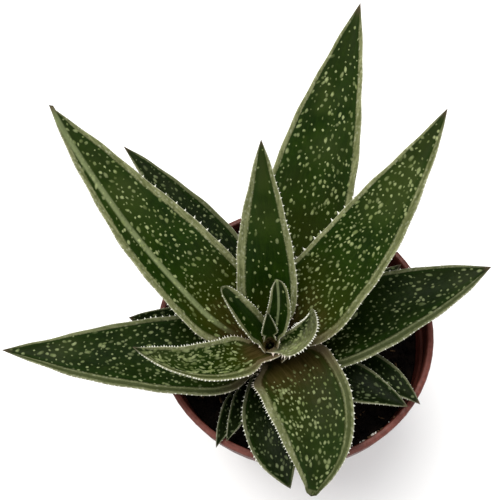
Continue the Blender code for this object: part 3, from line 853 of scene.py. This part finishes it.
def make_soil(node, material):
    """Loose peat: an uneven top with crumbs, bits of bark and a few grains of perlite on it."""
    low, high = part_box(node)
    verts = np.array([vert.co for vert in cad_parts[node].data.vertices])
    radii = np.hypot(verts[:, 0], verts[:, 1])
    shoulder = verts[verts[:, 2] > high.z - 4 * MM]
    rim = np.hypot(shoulder[:, 0], shoulder[:, 1]).max()
    shoulder_z = shoulder[np.argmax(np.hypot(shoulder[:, 0], shoulder[:, 1]))][2]
    base = radii[verts[:, 2] < low.z + 0.1 * MM].max()
    build = Build()
    rings, spokes = 84, 220

    def height(x, y):
        r = np.hypot(x, y) / rim
        dome = high.z - (high.z - shoulder_z) * min(r, 1) ** 2
        here = Vector((x, y, 0))
        lumps = noise.fractal(here * 120, 0.9, 2.2, 4) * 0.9
        crumbs = noise.fractal(here * 520 + Vector((5, 3, 1)), 0.8, 2.0, 4) * 0.55
        return dome + (lumps + crumbs - 0.4) * MM

    points = [(0.0, 0.0, height(0, 0))]
    for ring in range(1, rings + 1):
        r = rim * (ring / rings) ** 0.85
        for spoke in range(spokes):
            angle = 2 * pi * spoke / spokes
            x, y = r * cos(angle), r * sin(angle)
            points.append((x, y, height(x, y)))
    faces = [(0, 1 + spoke, 1 + (spoke + 1) % spokes) for spoke in range(spokes)]
    for ring in range(rings - 1):
        inner, outer = 1 + ring * spokes, 1 + (ring + 1) * spokes
        for spoke in range(spokes):
            after = (spoke + 1) % spokes
            faces.append((inner + spoke, outer + spoke, outer + after, inner + after))
    # sides and underside, out of sight in the pot
    edge = 1 + (rings - 1) * spokes
    foot = len(points)
    for spoke in range(spokes):
        angle = 2 * pi * spoke / spokes
        points.append((base * cos(angle), base * sin(angle), low.z))
    for spoke in range(spokes):
        after = (spoke + 1) % spokes
        faces.append((edge + spoke, foot + spoke, foot + after, edge + after))
    faces.append(tuple(foot + spoke for spoke in reversed(range(spokes))))
    build.add(np.array(points), {"grain": np.zeros(len(points))}, faces, [])
    random = np.random.default_rng(41)
    for number in range(CRUMBS):
        r = rim * np.sqrt(random.uniform(0, 0.97))
        angle = random.uniform(0, 2 * pi)
        x, y = r * cos(angle), r * sin(angle)
        kind = PEAT if number < PEAT_CRUMBS else BARK if number < PEAT_CRUMBS + BARK_CRUMBS else PERLITE
        size = random.uniform(0.35, 1.3) * MM * (0.8 if kind == PERLITE else 1)
        flat = (1, random.uniform(0.5, 1), random.uniform(0.4, 0.9))
        if kind == BARK:
            flat = (random.uniform(1.2, 2.6), random.uniform(0.35, 0.8), random.uniform(0.25, 0.5))
        middle = np.array([x, y, height(x, y) + 0.3 * size])
        add_grain(build, middle, size, flat, random.uniform(0, pi, 2) * (1, 0.3), kind, random)
    # crumbs that have dried on inside the lip of the pot
    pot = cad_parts["pot"].data
    inner = {corner for face in pot.polygons for corner in face.vertices
             if face.center.z > high.z and face.normal.xy.dot(face.center.xy.normalized()) < -0.7}
    wall = [pot.vertices[corner].co for corner in inner]
    wall = sorted({(round(point.z, 4), round(point.xy.length, 4)) for point in wall})
    levels, narrowest = zip(*wall)
    top = levels[-1]
    for _ in range(DRIED_CRUMBS):
        drop = random.uniform(0.6, 5.5) * MM
        radius = np.interp(top - drop, levels, narrowest) - random.uniform(0, 0.35) * MM
        angle = radians(random.normal(DRIED_HEADING, DRIED_SPREAD))
        size = random.uniform(0.25, 0.75) * MM
        middle = np.array([radius * cos(angle), radius * sin(angle), top - drop])
        flat = (1, random.uniform(0.5, 1), random.uniform(0.4, 0.9))
        turn = random.uniform(0, pi, 2)
        kind = random.choice([BARK, BARK, PERLITE])
        add_grain(build, middle, size, flat, turn, kind, random)
    return face_outwards(build.to_object("peat", material))


def make_stem(node, material):
    """The short stem, ringed by the scars of old leaves."""
    low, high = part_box(node)
    verts = np.array([vert.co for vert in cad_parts[node].data.vertices])
    bottom = verts[verts[:, 2] < (low.z + high.z) / 2]
    top = verts[verts[:, 2] >= (low.z + high.z) / 2]
    ends = [Vector(bottom.mean(axis=0)), Vector(top.mean(axis=0))]
    axis = (ends[1] - ends[0]).normalized()
    halves = zip((bottom, top), ends)
    spans = [np.linalg.norm(half - np.array(end), axis=1).mean() for half, end in halves]
    rows, spokes = 70, 40
    side = axis.orthogonal().normalized()
    other = axis.cross(side)
    points, faces = [], []
    for row in range(rows + 1):
        share = row / rows
        centre = ends[0].lerp(ends[1], share * STEM_SHOWN)
        for spoke in range(spokes):
            angle = 2 * pi * spoke / spokes
            scar = abs(sin(share * 26 + 0.6 * sin(angle * 2))) ** 6
            grain = noise.noise(Vector((cos(angle) * 2, sin(angle) * 2, share * 12)))
            radius = spans[0] + (spans[1] - spans[0]) * share + (0.35 * scar + 0.25 * grain) * MM
            radius *= 1 - 0.8 * max(0, (share - 0.7) / 0.3)
            points.append(centre + (side * cos(angle) + other * sin(angle)) * radius)
    for row in range(rows):
        this, above = row * spokes, (row + 1) * spokes
        for spoke in range(spokes):
            after = (spoke + 1) % spokes
            faces.append((this + spoke, this + after, above + after, above + spoke))
    faces.append(tuple(reversed(range(spokes))))
    faces.append(tuple(rows * spokes + spoke for spoke in range(spokes)))
    build = Build()
    build.add(np.array(points), {"grain": np.zeros(len(points))}, faces, [])
    return build.to_object("stem_bark", material)


# ---- the room ----


def make_light(name, where, size, power, colour):
    data = bpy.data.lights.new(name, "AREA")
    data.shape = "DISK"
    data.size = size
    data.energy = power
    data.color = colour
    light = bpy.data.objects.new(name, data)
    light.location = where
    light.rotation_mode = "QUATERNION"
    light.rotation_quaternion = (Vector((0, 0, 0.08)) - Vector(where)).to_track_quat("-Z", "Y")
    bpy.context.scene.collection.objects.link(light)


def make_room():
    n = Nodes("studio_floor")
    place = n.place()
    n.plug(n.shader.inputs["Base Color"], n.mix(n.noise(place, 3.0), (0.88, 0.88, 0.88), (0.92, 0.92, 0.92)))
    n.shader.inputs["Roughness"].default_value = 0.8
    bm = bmesh.new()
    bmesh.ops.create_grid(bm, x_segments=8, y_segments=8, size=3)
    mesh = bpy.data.meshes.new("floor")
    bm.to_mesh(mesh)
    bm.free()
    mesh.materials.append(n.material)
    floor = bpy.data.objects.new("floor", mesh)
    bpy.context.scene.collection.objects.link(floor)
    world = bpy.data.worlds.new("studio")
    world.use_nodes = True
    world.node_tree.nodes["Background"].inputs["Color"].default_value = (1, 1, 1, 1)
    world.node_tree.nodes["Background"].inputs["Strength"].default_value = 0.72
    bpy.context.scene.world = world
    make_light("key", (-0.28, 0.18, 0.95), 0.9, 12, (1, 0.99, 0.96))
    make_light("fill", (0.6, -0.7, 0.7), 0.9, 4.5, (0.98, 0.99, 1))


def make_camera():
    """Above and a little in front of the pot, tilted as the plant is seen from."""
    low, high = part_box("pot")
    rim_middle = Vector(((low.x + high.x) / 2, (low.y + high.y) / 2, high.z))
    where = rim_middle + Vector(CAMERA_FROM_RIM)
    back = (where - rim_middle).normalized()
    right = Vector((1, 0, 0))
    up = back.cross(right)
    look = Matrix((right, up, back)).transposed()
    turn = look
    for degrees, axis in ((CAMERA_YAW, "Y"), (CAMERA_PITCH, "X"), (CAMERA_ROLL, "Z")):
        turn = turn @ Matrix.Rotation(radians(degrees), 3, axis)
    data = bpy.data.cameras.new("camera")
    data.lens = FOCAL_LENGTH
    data.sensor_width = SENSOR_WIDTH
    camera = bpy.data.objects.new("camera", data)
    camera.matrix_world = Matrix.Translation(where) @ turn.to_4x4()
    bpy.context.scene.collection.objects.link(camera)
    bpy.context.scene.camera = camera


def main():
    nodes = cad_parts
    low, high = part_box("stem")
    stem_middle = (low + high) / 2
    skin_material = leaf_material()
    for seed, (name, skin) in enumerate(SKINS.items(), 1):
        leaf = make_leaf(nodes[name], skin, stem_middle, seed, skin_material)
        marker = leaf.data.attributes.new("seed", "FLOAT", "POINT")
        marker.data.foreach_set("value", np.full(len(leaf.data.vertices), seed / len(SKINS), np.float32))
        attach(leaf, "root")
        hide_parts(name)
    soil = make_soil("soil", soil_material())
    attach(soil, "root")
    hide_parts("soil")
    stem = make_stem("stem", stem_material())
    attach(stem, "root")
    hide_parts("stem")
    pot = nodes["pot"]
    pot.data.materials.clear()
    pot.data.materials.append(pot_material())
    make_room()
    make_camera()
    bpy.context.scene.view_settings.view_transform = "Standard"


main()
